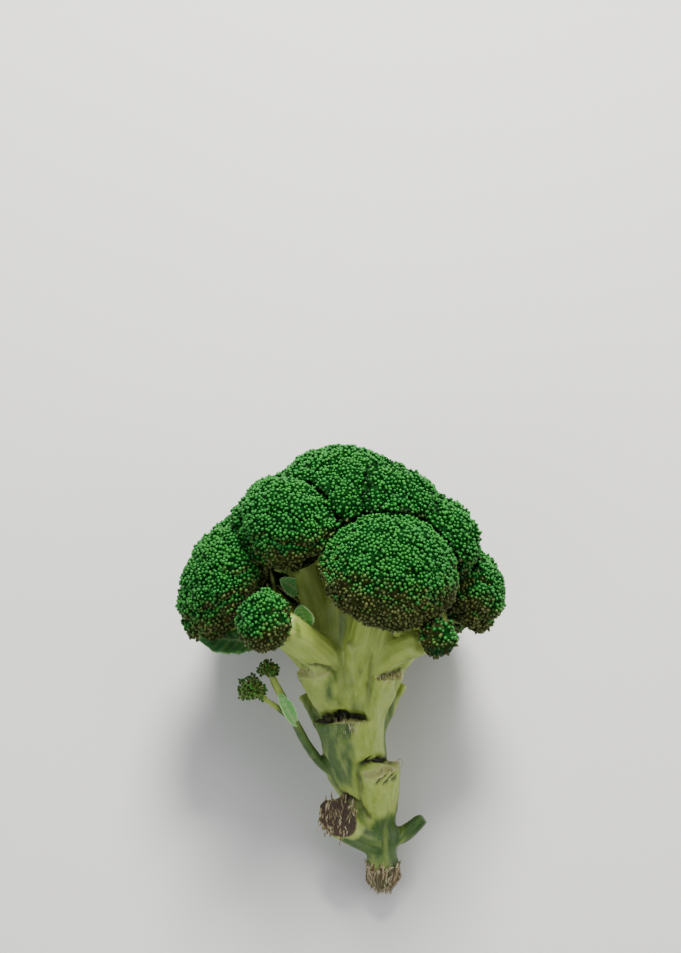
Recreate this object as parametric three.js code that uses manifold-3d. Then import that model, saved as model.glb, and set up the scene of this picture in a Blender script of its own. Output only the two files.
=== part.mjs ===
// A broccoli head, cut with a length of its stalk and lying on its side. Millimetres, +Z up.
//
// The head is laid out the way it grew: +Z runs up the stalk from its cut end, +X is to the right and +Y to
// the back. Pieces that grow out of each other meet face to face with a small gap. At the end the whole head
// is turned to lie the way it comes to rest on a flat surface, with the stalk towards -Y.

import * as THREE from "three";
import { ConvexHull } from "three/addons/math/ConvexHull.js";
import { mergeVertices } from "three/addons/utils/BufferGeometryUtils.js";
import Module from "manifold-3d";

const wasm = await Module();
wasm.setup();

const { degToRad, lerp, smoothstep } = THREE.MathUtils;
const vec = (x, y, z) => new THREE.Vector3(x, y, z);
const UP = vec(0, 0, 1);
const FRONT = vec(0, -1, 0);

// ---------------------------------------------------------------- driving dimensions

const crownWidth = 162; // across the outermost florets, left to right
const crownDepth = 152; // front to back
const crownRise = 78; // from the crown's widest level to its top
const crownAboveFork = 23; // height of that widest level above the fork
const crownOffset = -20; // the crown's middle, left of the cut end

const stalkLength = 121; // from the cut end to the fork where the last florets leave
const stalkSweep = -17; // how far the stalk bends to the left on its way up
const buttRadius = 8.8; // at the cut end
const ankleRadius = 7.6; // just above it, where the stalk is thinnest
const waistRadius = 16.2; // halfway up
const forkRadius = 22.5; // at the fork
const buttHollow = 3; // depth of the dip in the cut end, where the pith has shrunk

const leafThickness = 1.1;
const joinGap = 0.3; // between pieces that grow out of each other

// Florets. around: degrees from the front, turning to the right. down: degrees from the crown's top.
// radius: of the floret's dome, as a share of half the crown's width. wide, tall: its stretch across and
// along the crown. stem: radius of its branch, as a share of the fork's. below: how far below the fork the
// branch leaves the stalk.
const florets = [
  { name: "front_right", around: 27, down: 73, radius: 0.383, wide: 1.14, tall: 1.02, stem: 0.49, below: 5 },
  { name: "left", around: -80, down: 78, radius: 0.321, wide: 1.2, tall: 1.42, stem: 0.44, below: 9 },
  { name: "low_left", around: -34, down: 97, radius: 0.179, wide: 1.05, tall: 1.08, stem: 0.38, below: 6 },
  { name: "upper_left", around: -46, down: 46, radius: 0.346, wide: 1.1, tall: 0.9, stem: 0.33, below: 3 },
  { name: "top", around: -20, down: 5, radius: 0.481, wide: 1.04, tall: 1.0, stem: 0.62, below: 3 },
  { name: "top_right", around: 45, down: 33, radius: 0.284, wide: 1.05, tall: 1.15, stem: 0.36, below: 3 },
  { name: "upper_right", around: 64, down: 57, radius: 0.265, wide: 1.04, tall: 1.12, stem: 0.31, below: 6 },
  { name: "right", around: 86, down: 84, radius: 0.265, wide: 1.15, tall: 1.15, stem: 0.38, below: 13 },
  { name: "low_right", around: 41, down: 103, radius: 0.13, wide: 1.05, tall: 1.0, stem: 0.27, below: 9 },
  { name: "back_left", around: -138, down: 82, radius: 0.37, wide: 1.2, tall: 1.15, stem: 0.44, below: 11 },
  { name: "back_right", around: 136, down: 84, radius: 0.37, wide: 1.2, tall: 1.12, stem: 0.44, below: 13 },
  { name: "back", around: 180, down: 65, radius: 0.358, wide: 1.2, tall: 1.2, stem: 0.40, below: 7 },
  { name: "up_back_right", around: 135, down: 42, radius: 0.333, wide: 1.2, tall: 1.0, stem: 0.36, below: 3 },
  { name: "up_back_left", around: -135, down: 42, radius: 0.333, wide: 1.2, tall: 1.0, stem: 0.36, below: 3 },
];
const floretUndercut = 0.4; // how much narrower a floret is underneath than on top
const floretUnderside = 0.8; // its depth below its widest level, as a share of its radius
const floretLumps = 0.035; // height of the swellings on a floret, as a share of its radius
const stemTaper = 1.05; // a branch's radius where it enters its floret, beside where it leaves the stalk
const branchReach = 0.45; // how far past a floret's centre its branch ends, as a share of its radius

// Stubs of the leaves that were cut off. around: as above. root, top: how far up the stalk, as a share of its
// length, the stub parts from it and was cut. out: how far the middle of the cut stands out from the stalk's
// surface. width, thickness: of the cut.
const leafBases = [
  { name: "front", around: -14, root: 0.364, top: 0.711, out: 1.5, width: 30, thickness: 9 },
  { name: "centre", around: 12, root: 0.727, top: 1.025, out: 2.5, width: 15, thickness: 9 },
  { name: "left", around: -46, root: 0.645, top: 0.905, out: 3.5, width: 25, thickness: 11 },
  { name: "right", around: 53, root: 0.645, top: 0.888, out: 2.5, width: 24, thickness: 9 },
  { name: "low_right", around: 40, root: 0.165, top: 0.504, out: 2.5, width: 24, thickness: 12 },
  { name: "back", around: 172, root: 0.331, top: 0.645, out: 4, width: 26, thickness: 10 },
  { name: "back_left", around: -128, root: 0.512, top: 0.793, out: 5, width: 24, thickness: 10 },
  { name: "back_right", around: 122, root: 0.579, top: 0.835, out: 5, width: 24, thickness: 10 },
];

// The thick side shoot low on the left that was cut short and has dried. share: how far up the stalk it
// leaves. lift, reach: of its end above and beside that. slant: slope of its cut, turned to the front.
const stump = { around: -62, share: 0.18, lift: 15, reach: 25, radius: 8.6, slant: 0.9 };

// The small bud low on the right.
const lowBud = { around: 84, share: 0.165, lift: 15, reach: 21, radius: 4.2 };

// The thin shoot on the left. around, share: where it leaves the stalk. path: the points that its stem
// passes after that, and twig those that its twig passes, measured from the point where it leaves.
const shoot = {
  around: -70,
  share: 0.47,
  path: [vec(-9, -2, 8), vec(-17, -4, 20), vec(-26, -5, 38), vec(-34, -5, 53)],
  radius: 2.6,
  tipRadius: 1.7,
  twig: [vec(-20, -4.5, 26), vec(-30, -6, 35), vec(-42, -7, 43)],
  twigRadius: 1.5,
  clusterRadius: 5,
  outerClusterRadius: 7,
};

// ---------------------------------------------------------------- geometry to solids and back

function toSolid(geometry) {
  const bare = geometry.index ? geometry.toNonIndexed() : geometry.clone();
  for (const name of Object.keys(bare.attributes)) {
    if (name !== "position") bare.deleteAttribute(name);
  }
  const merged = mergeVertices(bare, 1e-4);
  const index = merged.index.array;
  const corners = [];
  for (let i = 0; i < index.length; i += 3) {
    const [a, b, c] = index.subarray(i, i + 3);
    if (a !== b && b !== c && c !== a) corners.push(a, b, c); // a pole's empty triangles are left out
  }
  const mesh = new wasm.Mesh({
    numProp: 3,
    vertProperties: merged.attributes.position.array,
    triVerts: new Uint32Array(corners),
  });
  return new wasm.Manifold(mesh);
}

function toGeometry(solid) {
  const { vertProperties, triVerts } = solid.getMesh();
  const geometry = new THREE.BufferGeometry();
  geometry.setAttribute("position", new THREE.BufferAttribute(vertProperties, 3));
  geometry.setIndex(new THREE.BufferAttribute(triVerts, 1));
  geometry.computeVertexNormals();
  return geometry;
}

// The piece without the room that its neighbours take. Only its own body is kept: a sliver that a neighbour
// cuts off isn't joined to anything.
function clearOf(solid, rooms) {
  const cut = rooms.reduce((rest, room) => rest.subtract(room), solid);
  return cut.decompose().reduce((most, body) => (body.volume() > most.volume() ? body : most));
}

// ---------------------------------------------------------------- shapes

function moveVertices(geometry, move) {
  const position = geometry.attributes.position;
  const point = new THREE.Vector3();
  for (let i = 0; i < position.count; i++) {
    move(point.fromBufferAttribute(position, i));
    position.setXYZ(i, point.x, point.y, point.z);
  }
  return geometry;
}

// A round solid that runs along a curve: its radius at each share of the way is radiusAt(share). It is
// turned as a straight one, flattened to `flat` of its width towards `facing`, and bent along the curve.
// grow makes it larger all round, for the room that it takes from its neighbours.
function limb(curve, radiusAt, options) {
  const { sides, rings, flat = 1, facing = FRONT, hollow = 0, slant = 0, grow = 0 } = options;
  const profile = [new THREE.Vector2(0, hollow && hollow - grow)];
  if (hollow) profile.push(new THREE.Vector2(0.55 * radiusAt(0), hollow / 2 - grow));
  for (let i = 0; i <= rings; i++) {
    const share = i / rings;
    const end = i === 0 ? -grow : i === rings ? grow : 0;
    profile.push(new THREE.Vector2(radiusAt(share) + grow, share * curve.getLength() + end));
  }
  profile.push(new THREE.Vector2(0, curve.getLength() + grow));
  const length = curve.getLength();
  const straight = new THREE.LatheGeometry(profile, sides).rotateX(Math.PI / 2);
  return moveVertices(straight, (point) => {
    const share = THREE.MathUtils.clamp(point.z / length, 0, 1);
    const tangent = curve.getTangentAt(share);
    const across = new THREE.Vector3().crossVectors(facing, tangent).normalize();
    const out = new THREE.Vector3().crossVectors(tangent, across);
    const { x, y, z } = point;
    point.copy(curve.getPointAt(share));
    point.addScaledVector(across, x);
    point.addScaledVector(out, y * flat);
    point.addScaledVector(tangent, z - share * length - slant * y * share ** 2);
  });
}

// The direction out from the stalk at an angle from the front, turning to the right.
function outward(around) {
  const angle = degToRad(around);
  return vec(Math.sin(angle), -Math.cos(angle), 0);
}

// ---------------------------------------------------------------- the stalk

const stalkCurve = new THREE.CatmullRomCurve3(
  [
    [0, 0],
    [0.04, 0.17],
    [0.36, 0.36],
    [0.82, 0.53],
    [0.9, 0.76],
    [1, 1],
  ].map(([sweep, height]) => vec(sweep * stalkSweep, 0, height * stalkLength)),
);
const fork = stalkCurve.getPointAt(1);

function stalkRadius(share) {
  const foot = lerp(buttRadius, ankleRadius, smoothstep(share, 0, 0.14));
  const lower = lerp(foot, waistRadius, smoothstep(share, 0.14, 0.56));
  return lerp(lower, forkRadius, smoothstep(share, 0.66, 0.98));
}

const stalk = (grow = 0) =>
  limb(stalkCurve, stalkRadius, { sides: 22, rings: 12, hollow: buttHollow, grow });

// The middle of the stalk at a share of its length.
const stalkAt = (share) => stalkCurve.getPointAt(Math.min(share, 1));

// A point `out` beyond the stalk's surface, at an angle from the front and a share of the stalk's length.
function besideStalk(around, share, out) {
  const radius = stalkRadius(Math.min(share, 1));
  return vec(stalkAt(share).x, 0, share * stalkLength).addScaledVector(outward(around), radius + out);
}

// ---------------------------------------------------------------- florets and their branches

const domeRadius = (floret) => (floret.radius * crownWidth) / 2;

// The florets' domes touch the crown's outline from inside.
function floretCentre(floret) {
  const { around, down } = floret;
  const radius = domeRadius(floret);
  const side = Math.sin(degToRad(down));
  const direction = outward(around).multiplyScalar(side).setZ(Math.cos(degToRad(down)));
  return vec(
    crownOffset + direction.x * (crownWidth / 2 - radius),
    direction.y * (crownDepth / 2 - radius),
    stalkLength + crownAboveFork + direction.z * (crownRise - radius),
  );
}

// A floret's frame: z points away from the fork, x runs across the crown and y up it.
function floretFrame(floret) {
  const centre = floretCentre(floret);
  const axis = centre.clone().sub(fork).normalize();
  const across = new THREE.Vector3().crossVectors(UP, axis).normalize();
  const along = new THREE.Vector3().crossVectors(axis, across);
  return new THREE.Matrix4().makeBasis(across, along, axis).setPosition(centre);
}

// A dome that is drawn in underneath, with broad swellings.
function floretHead(floret, grow = 0) {
  const { around, wide, tall } = floret;
  const head = new THREE.SphereGeometry(1, 17, 10).rotateX(Math.PI / 2);
  moveVertices(head, (point) => {
    const turn = Math.atan2(point.y, point.x);
    const fall = Math.acos(THREE.MathUtils.clamp(point.z, -1, 1));
    const swelling = Math.cos(4 * turn + around) * Math.sin(2 * fall) ** 2;
    const reach = domeRadius(floret) * (1 + floretLumps * swelling);
    const drawnIn = 1 - floretUndercut * smoothstep(fall, degToRad(95), degToRad(150));
    point.x *= (reach + grow) * wide * drawnIn;
    point.y *= (reach + grow) * tall * drawnIn;
    point.z *= (reach + grow) * (point.z < 0 ? floretUnderside : 1);
  });
  return head.applyMatrix4(floretFrame(floret));
}

// A branch starts in the stalk, below the floret that it carries, and ends past the middle of that floret.
function branchCurve(floret) {
  const { around, stem, below } = floret;
  const share = 1 - (below + stem * forkRadius) / stalkLength;
  const start = stalkAt(share).addScaledVector(outward(around), 0.35 * forkRadius);
  const past = vec(0, 0, branchReach * domeRadius(floret));
  const end = past.applyMatrix4(floretFrame(floret));
  const bend = start.clone().lerp(end, 0.45).addScaledVector(UP, 0.12 * start.distanceTo(end));
  return new THREE.QuadraticBezierCurve3(start, bend, end);
}

const branchRadius = ({ stem }, share) => stem * forkRadius * lerp(1, stemTaper, share);

function branch(floret, grow = 0) {
  const radiusAt = (share) => branchRadius(floret, share);
  return limb(branchCurve(floret), radiusAt, { sides: 11, rings: 5, grow });
}

// ---------------------------------------------------------------- leaf stubs, stump and low bud

// A flattened stub that parts from the stalk at its root and leans out to its cut.
function leafBase({ around, root, top, out, width, thickness }, grow = 0) {
  const start = besideStalk(around, root, -0.6 * thickness);
  const end = besideStalk(around, top, out);
  const bend = besideStalk(around, lerp(root, top, 0.6), lerp(-0.6 * thickness, out, 0.45));
  const curve = new THREE.QuadraticBezierCurve3(start, bend, end);
  const widen = (share) => (width / 2) * lerp(0.35, 1, Math.sqrt(share));
  const flat = thickness / width;
  return limb(curve, widen, { sides: 16, rings: 6, flat, facing: outward(around), grow });
}

// A short round shoot that leaves the stalk and turns upwards. radiusAt gives its radius along the way.
function sideShoot({ around, share, lift, reach, slant }, radiusAt, grow = 0) {
  const start = stalkAt(share);
  const end = start.clone().addScaledVector(outward(around), reach).addScaledVector(UP, lift);
  const bend = start.clone().lerp(end, 0.55).addScaledVector(UP, -0.15 * lift);
  const curve = new THREE.QuadraticBezierCurve3(start, bend, end);
  return limb(curve, radiusAt, { sides: 16, rings: 7, slant, grow });
}

const stumpShape = (grow = 0) =>
  sideShoot(stump, (share) => lerp(0.85, 1, share) * stump.radius, grow);

const lowBudShape = (grow = 0) =>
  sideShoot(lowBud, (share) => lerp(0.55, 1, Math.sin(share * 0.85 * Math.PI)) * lowBud.radius, grow);

// ---------------------------------------------------------------- the thin shoot on the left

const shootFoot = besideStalk(shoot.around, shoot.share, -shoot.radius);
const shootPath = [vec(0, 0, 0), ...shoot.path].map((point) => point.add(shootFoot));
const twigPath = shoot.twig.map((point) => point.add(shootFoot));
const shootCurve = new THREE.CatmullRomCurve3(shootPath);
const twigCurve = new THREE.CatmullRomCurve3(twigPath);

const shootRadius = (share) => lerp(shoot.radius, shoot.tipRadius, share);
const shootStem = (grow = 0) => limb(shootCurve, shootRadius, { sides: 10, rings: 9, grow });

const shootTwig = (grow = 0) =>
  limb(twigCurve, () => shoot.twigRadius, { sides: 8, rings: 4, grow });

function budCluster(centre, radius, grow = 0) {
  const cluster = new THREE.SphereGeometry(radius + grow, 12, 8).rotateX(Math.PI / 2);
  return cluster.translate(centre.x, centre.y, centre.z);
}

// ---------------------------------------------------------------- leaves

// A thin pointed blade, from its foot at the origin to its tip along +Y. cup bends its sides up and
// curl bends its tip down, each in millimetres. widest: the share of its length where it is widest.
function leafBlade({ length, width, widest, cup, curl }, grow) {
  const blade = new THREE.SphereGeometry(1, 12, 10);
  return moveVertices(blade, (point) => {
    const share = (point.y + 1) / 2;
    const side = point.x / Math.max(Math.sqrt(1 - point.y * point.y), 1e-6);
    const outline = Math.sin(Math.PI * share ** (Math.log(0.5) / Math.log(widest))) ** 0.75;
    const spread = Math.abs(point.y) < 1 ? side * outline : 0;
    point.x = spread * (width / 2 + grow);
    point.y = lerp(-grow, length + grow, share);
    point.z *= leafThickness / 2 + grow;
    point.z += cup * ((2 * point.x) / width) ** 2 - curl * (point.y / length) ** 2;
  });
}

// on, share: the branch that the blade grows on, or the shoot, and how far along it. side: the way from the
// branch's middle to the blade's foot. tip: the way the blade runs. face: the way its upper side looks.
const leaves = [
  { name: "leaflet_upper", on: "upper_left", share: 0.46, side: vec(-0.85, -0.55, 0.1),
    tip: vec(-0.75, -0.6, 0.55), face: vec(0.15, -0.9, 0.0),
    length: 15, width: 9, widest: 0.5, cup: 1.8, curl: 1 },
  { name: "leaflet_lower", on: "low_left", share: 0.48, side: vec(0.25, -0.25, 0.9),
    tip: vec(-0.35, -0.4, 0.85), face: vec(-0.1, -0.75, -0.4),
    length: 13, width: 11, widest: 0.5, cup: 2.6, curl: 1.5 },
  { name: "leaf_under_left", on: "left", share: 0.45, side: vec(-0.3, -0.6, -0.7),
    tip: vec(-0.95, -0.2, 0), face: vec(-0.2, -0.8, 0.5),
    length: 42, width: 20, widest: 0.68, cup: 3, curl: -5 },
  { name: "shoot_leaf", on: "shoot", share: 0.5, side: vec(-0.2, -0.9, 0),
    tip: vec(-0.4, -0.2, 0.85), face: vec(0.4, -0.85, 0.1),
    length: 20, width: 7, widest: 0.5, cup: 1.2, curl: 1.5 },
];
const leafSunk = 1; // how far a blade's foot reaches into what it grows on

// A point just under the surface of a branch or of the shoot.
function leafFoot({ on, share, side }) {
  const floret = florets.find(({ name }) => name === on);
  const curve = floret ? branchCurve(floret) : shootCurve;
  const radius = floret ? branchRadius(floret, share) : shootRadius(share);
  return curve.getPointAt(share).addScaledVector(side.clone().normalize(), radius - leafSunk);
}

function leaf(blade, grow = 0) {
  const along = blade.tip.clone().normalize();
  const across = new THREE.Vector3().crossVectors(along, blade.face).normalize();
  const upper = new THREE.Vector3().crossVectors(across, along);
  const frame = new THREE.Matrix4().makeBasis(across, along, upper).setPosition(leafFoot(blade));
  return leafBlade(blade, grow).applyMatrix4(frame);
}

// ---------------------------------------------------------------- putting the head together

const material = (color, roughness) => new THREE.MeshStandardMaterial({ color, roughness, metalness: 0 });
const materials = {
  stalk: material(0x9daa62, 0.55),
  buds: material(0x2f6f2c, 0.65),
  leaf: material(0x2d6a45, 0.5),
  dried: material(0x5a4330, 0.85),
};

// The pieces in the order in which they claim their room: each is cut clear of those before it.
const pieces = [];
function grow(name, shape, look) {
  const solid = clearOf(toSolid(shape(0)), pieces.map((piece) => piece.room));
  pieces.push({ name, solid, look, room: toSolid(shape(joinGap)) });
}

grow("stalk", stalk, materials.stalk);
for (const base of leafBases) {
  grow(`leaf_base_${base.name}`, (more) => leafBase(base, more), materials.stalk);
}
for (const floret of florets) {
  grow(`branch_${floret.name}`, (more) => branch(floret, more), materials.stalk);
}
grow("stump_low_left", stumpShape, materials.dried);
grow("bud_low_right", lowBudShape, materials.leaf);
grow("shoot_stem", shootStem, materials.stalk);
grow("shoot_twig", shootTwig, materials.stalk);
const innerBuds = (more) => budCluster(shootPath.at(-1), shoot.clusterRadius, more);
const outerBuds = (more) => budCluster(twigPath.at(-1), shoot.outerClusterRadius, more);
grow("shoot_buds_inner", innerBuds, materials.buds);
grow("shoot_buds_outer", outerBuds, materials.buds);
for (const blade of leaves) {
  grow(blade.name, (more) => leaf(blade, more), materials.leaf);
}
for (const floret of florets) {
  grow(`floret_${floret.name}`, (more) => floretHead(floret, more), materials.buds);
}

// ---------------------------------------------------------------- lying down

// Volume and centre of a closed mesh, from the tetrahedra between its faces and the origin.
function massOf(geometry) {
  const { position } = geometry.attributes;
  const index = geometry.index.array;
  const [a, b, c] = [vec(), vec(), vec()];
  const centre = vec(0, 0, 0);
  let volume = 0;
  for (let i = 0; i < index.length; i += 3) {
    a.fromBufferAttribute(position, index[i]);
    b.fromBufferAttribute(position, index[i + 1]);
    c.fromBufferAttribute(position, index[i + 2]);
    const share = a.dot(b.clone().cross(c)) / 6;
    volume += share;
    centre.addScaledVector(a.add(b).add(c), share / 4);
  }
  return { volume, centre: centre.divideScalar(volume) };
}

// The outward direction of the hull face that the head lies on: the one nearest to `down` whose three
// corners have the centre of mass above them.
function restingDown(geometries, down) {
  const points = [];
  const middle = vec(0, 0, 0);
  let total = 0;
  for (const geometry of geometries) {
    const { position } = geometry.attributes;
    for (let i = 0; i < position.count; i++) {
      points.push(new THREE.Vector3().fromBufferAttribute(position, i));
    }
    const { volume, centre } = massOf(geometry);
    middle.addScaledVector(centre, volume);
    total += volume;
  }
  middle.divideScalar(total);
  const hull = new ConvexHull().setFromPoints(points);
  let best = null;
  for (const face of hull.faces) {
    const corners = [face.edge.head().point, face.edge.next.head().point, face.edge.prev.head().point];
    const triangle = new THREE.Triangle(...corners);
    const foot = middle.clone().addScaledVector(face.normal, -face.distanceToPoint(middle));
    if (!triangle.containsPoint(foot)) continue;
    if (!best || face.normal.dot(down) > best.dot(down)) best = face.normal.clone();
  }
  return best;
}

const geometries = pieces.map((piece) => toGeometry(piece.solid));
const down = restingDown(geometries, vec(0, 0.9, -0.43));
const away = UP.clone().projectOnPlane(down).normalize();
const grownToLying = new THREE.Matrix4()
  .makeBasis(new THREE.Vector3().crossVectors(down, away), away, down.clone().negate())
  .transpose();

const head = new THREE.Group();
pieces.forEach(({ name, look }, i) => {
  const mesh = new THREE.Mesh(geometries[i], look);
  mesh.name = name;
  head.add(mesh);
});
head.applyMatrix4(grownToLying);
const box = new THREE.Box3().setFromObject(head, true);
const middle = box.getCenter(new THREE.Vector3());
head.position.set(-middle.x, -middle.y, -box.min.z);

export default head;
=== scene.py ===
from math import ceil, cos, log, pi, radians, sin, sqrt

import bpy
import numpy as np
from numpy import concatenate
from numpy.linalg import norm
from mathutils import Matrix, Vector
from mathutils.bvhtree import BVHTree


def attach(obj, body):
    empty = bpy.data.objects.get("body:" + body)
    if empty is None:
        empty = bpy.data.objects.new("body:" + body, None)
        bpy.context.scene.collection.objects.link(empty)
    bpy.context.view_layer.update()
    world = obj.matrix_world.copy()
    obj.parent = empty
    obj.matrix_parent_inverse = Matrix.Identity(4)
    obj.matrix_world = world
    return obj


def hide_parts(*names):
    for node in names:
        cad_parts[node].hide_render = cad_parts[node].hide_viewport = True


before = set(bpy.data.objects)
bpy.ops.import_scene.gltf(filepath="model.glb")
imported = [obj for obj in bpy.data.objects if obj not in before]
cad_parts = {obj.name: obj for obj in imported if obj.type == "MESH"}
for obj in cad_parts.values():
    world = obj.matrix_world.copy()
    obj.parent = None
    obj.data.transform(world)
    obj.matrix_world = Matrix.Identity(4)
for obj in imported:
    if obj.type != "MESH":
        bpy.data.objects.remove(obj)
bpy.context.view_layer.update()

SCENE = bpy.context.scene

# Everything is worked out as the head grew, in millimetres: +Z up the stalk to the crown, -Y its front,
# +X to its right. It lies on its back in the row frame: the rows of GROWN are the grown X, Y and Z there.
GROWN = np.array([[0.99792, -0.02575, 0.05914], [0.0645, 0.39842, -0.91493], [0.0, 0.91684, 0.39925]])
ORIGIN = np.array([20.765, -101.074, 8.051])
FLOOR = 0.05  # the lowest that anything reaches above the floor

FORK = np.array([-17.0, 0.0, 121.0])  # where the stalk parts into its branches
BRANCH_REACH = 0.45  # how far past its floret's centre a branch ends, as a share of the floret's radius
BRANCH_SHOWN = 0.8  # the share of a branch's curve that has a skin; the rest is buried in its floret
SOFT_VOXEL, CRISP_VOXEL = 1.3, 0.85  # of the stalk's skin, before and after the cuts are put back
CORE_VOXEL = 1.35  # of a floret's body
INSET = 1.1  # the body under the buds lies this far inside the floret's own outline
BUD_SPACING, BUD_RADIUS, BUD_TILT = 1.47, 0.86, 0.26
LEAST_OPEN = 0.1  # a bud is left out where it would see less than this share of its surroundings
MOST_FACES = 196000  # in one piece
GOLDEN = pi * (3 - sqrt(5))  # a turn that never repeats
TURN = 6.28  # close enough to a full turn, for random draws

# name: centre, radius, stretch across and along, radius of the branch, where the branch starts
FLORETS = {
    "front_right": ((1.7, -38.32, 157.73), 31.0, 1.14, 1.02, 11.0, (-12.45, -7.02, 104.7)),
    "left": ((-72.98, -8.49, 154.81), 26.0, 1.2, 1.42, 9.9, (-23.61, -1.37, 101.78)),
    "low_left": ((-56.91, -50.61, 136.26), 14.5, 1.05, 1.08, 8.6, (-20.52, -6.53, 106.2)),
    "upper_left": ((-47.41, -23.97, 178.71), 28.0, 1.1, 0.9, 7.4, (-22.03, -5.47, 110.4)),
    "top": ((-21.25, -3.03, 182.89), 39.0, 1.04, 1.0, 13.9, (-18.66, -7.4, 103.76)),
    "top_right": ((2.34, -20.41, 190.12), 23.0, 1.05, 1.15, 8.1, (-10.76, -5.57, 109.71)),
    "upper_right": ((24.88, -20.05, 174.79), 21.5, 1.04, 1.12, 7.0, (-9.13, -3.45, 107.8)),
    "right": ((39.06, -3.78, 149.91), 21.5, 1.15, 1.15, 8.6, (-7.84, -0.55, 99.08)),
    "low_right": ((25.05, -48.14, 128.82), 10.5, 1.05, 1.0, 6.1, (-10.92, -5.94, 105.67)),
    "back_left": ((-53.81, 33.87, 150.68), 30.0, 1.2, 1.15, 9.9, (-21.01, 5.85, 99.74)),
    "back_right": ((15.25, 32.93, 149.02), 30.0, 1.2, 1.12, 9.9, (-10.15, 5.66, 97.71)),
    "back": ((-20.0, 42.6, 164.71), 29.0, 1.2, 1.2, 9.0, (-16.03, 7.87, 104.73)),
    "up_back_right": ((5.56, 23.2, 181.92), 27.0, 1.2, 1.0, 8.1, (-10.76, 5.57, 109.71)),
    "up_back_left": ((-45.56, 23.2, 181.92), 27.0, 1.2, 1.0, 8.1, (-21.89, 5.57, 109.71)),
}


# ---- frames, noise and small tools

def to_row(points):
    return (np.asarray(points, float) @ GROWN + ORIGIN) / 1000


def to_grown(points):
    return (np.asarray(points, float) * 1000 - ORIGIN) @ GROWN.T


def unit(v):
    v = np.asarray(v, float)
    return v / np.maximum(norm(v, axis=-1, keepdims=True), 1e-9)


def stacked(*columns):
    return np.stack(columns, 1)


def dots(a, b):
    """The dot product of each row of a with the same row of b."""
    return np.einsum("ij,ij->i", a, b)


def ramp(x, low, high):
    """A smooth step from 0 at low to 1 at high."""
    t = np.clip((x - low) / (high - low), 0, 1)
    return t * t * (3 - 2 * t)


def noise(points, seed=0):
    """Smooth value noise from -1 to 1, with features about one unit across."""
    cell = np.floor(points).astype(np.int64)
    f = points - cell
    f = f * f * (3 - 2 * f)
    total = np.zeros(len(points))
    for c in range(8):
        corner = np.array([c & 1, c >> 1 & 1, c >> 2 & 1])
        h = cell + corner
        n = h[:, 0] * 73856093 ^ h[:, 1] * 19349663 ^ h[:, 2] * 83492791 ^ (seed * 7919 + 17)
        n = (n ^ n >> 13) * 1274126177 & 0x7FFFFFFF
        n = (n ^ n >> 15) & 0xFFFF
        total += np.prod(np.where(corner, f, 1 - f), axis=1) * n
    return total / 32767.5 - 1


def tone(points, scale, seed, octaves=3):
    """Several octaves of noise, from -1 to 1. scale is one number, or one for each axis."""
    total, weight, size = 0, 0, 1.0
    for k in range(octaves):
        total = total + noise(points * np.array(scale) / size, seed + 31 * k) * size
        weight += size
        size /= 2
    return total / weight


def joined(parts):
    """(vertices, triangles) of several such pairs as one pair."""
    start, vs, ts = 0, [], []
    for v, t in parts:
        vs.append(v)
        ts.append(np.asarray(t) + start)
        start += len(v)
    return concatenate(vs), concatenate(ts)


def fetched(items, key, per, kind):
    """What Blender's items hold under a key, as an array of rows."""
    values = np.empty(len(items) * per, kind)
    items.foreach_get(key, values)
    return values.reshape(-1, per)


def node_shape(name):
    """A CAD node's merged vertices, in the grown frame, and its triangles."""
    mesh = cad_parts[name].data
    mesh.calc_loop_triangles()
    tri = fetched(mesh.loop_triangles, "vertices", 3, np.int32)
    co = to_grown(fetched(mesh.vertices, "co", 3, np.float32))
    merged, place = np.unique(np.round(co, 3), axis=0, return_inverse=True)
    tri = place.reshape(-1)[tri]
    real = (tri[:, 0] != tri[:, 1]) & (tri[:, 1] != tri[:, 2]) & (tri[:, 0] != tri[:, 2])
    return merged, tri[real]


def linked(name, data):
    """A new object in the scene."""
    made = bpy.data.objects.new(name, data)
    SCENE.collection.objects.link(made)
    return made


def new_mesh(name, v, faces):
    """A mesh from vertices and a list of face arrays, each of one number of corners."""
    corners = concatenate([f.ravel() for f in faces]).astype(np.int32)
    sizes = concatenate([np.full(len(f), f.shape[1]) for f in faces])
    starts = concatenate([[0], np.cumsum(sizes)[:-1]]).astype(np.int32)
    mesh = bpy.data.meshes.new(name)
    mesh.vertices.add(len(v))
    mesh.vertices.foreach_set("co", np.asarray(v, np.float32).ravel())
    mesh.loops.add(len(corners))
    mesh.loops.foreach_set("vertex_index", corners)
    mesh.polygons.add(len(starts))
    mesh.polygons.foreach_set("loop_start", starts)
    mesh.update(calc_edges=True)
    return mesh


def remeshed(parts, voxel, rounds):
    """The joined parts as one skin of even quads about voxel across, smoothed by that many rounds."""
    v, t = joined(parts)
    mesh = new_mesh("work", v, [t])
    work = linked("work", mesh)
    remesh = work.modifiers.new("remesh", "REMESH")
    remesh.mode, remesh.voxel_size = "VOXEL", voxel
    smooth = work.modifiers.new("smooth", "SMOOTH")
    smooth.factor, smooth.iterations = 0.5, rounds
    made = work.evaluated_get(bpy.context.evaluated_depsgraph_get()).to_mesh()
    co = fetched(made.vertices, "co", 3, np.float32).astype(float)
    quads = fetched(made.loops, "vertex_index", 1, np.int32).reshape(-1, 4)
    bpy.data.objects.remove(work)
    bpy.data.meshes.remove(mesh)
    return co, quads


def normals_of(v, faces):
    """Smooth vertex normals of a skin of triangles or quads."""
    a, b, c = v[faces.T[[0, 1, -1]]]
    flat = np.cross(b - a, c - a)
    out = np.zeros_like(v)
    for k in range(faces.shape[1]):
        np.add.at(out, faces[:, k], flat)
    return unit(out)


def as_triangles(quads):
    return concatenate([quads[:, [0, 1, 2]], quads[:, [0, 2, 3]]])


def tree_of(v, faces):
    return BVHTree.FromPolygons(v.tolist(), faces.tolist())


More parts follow.
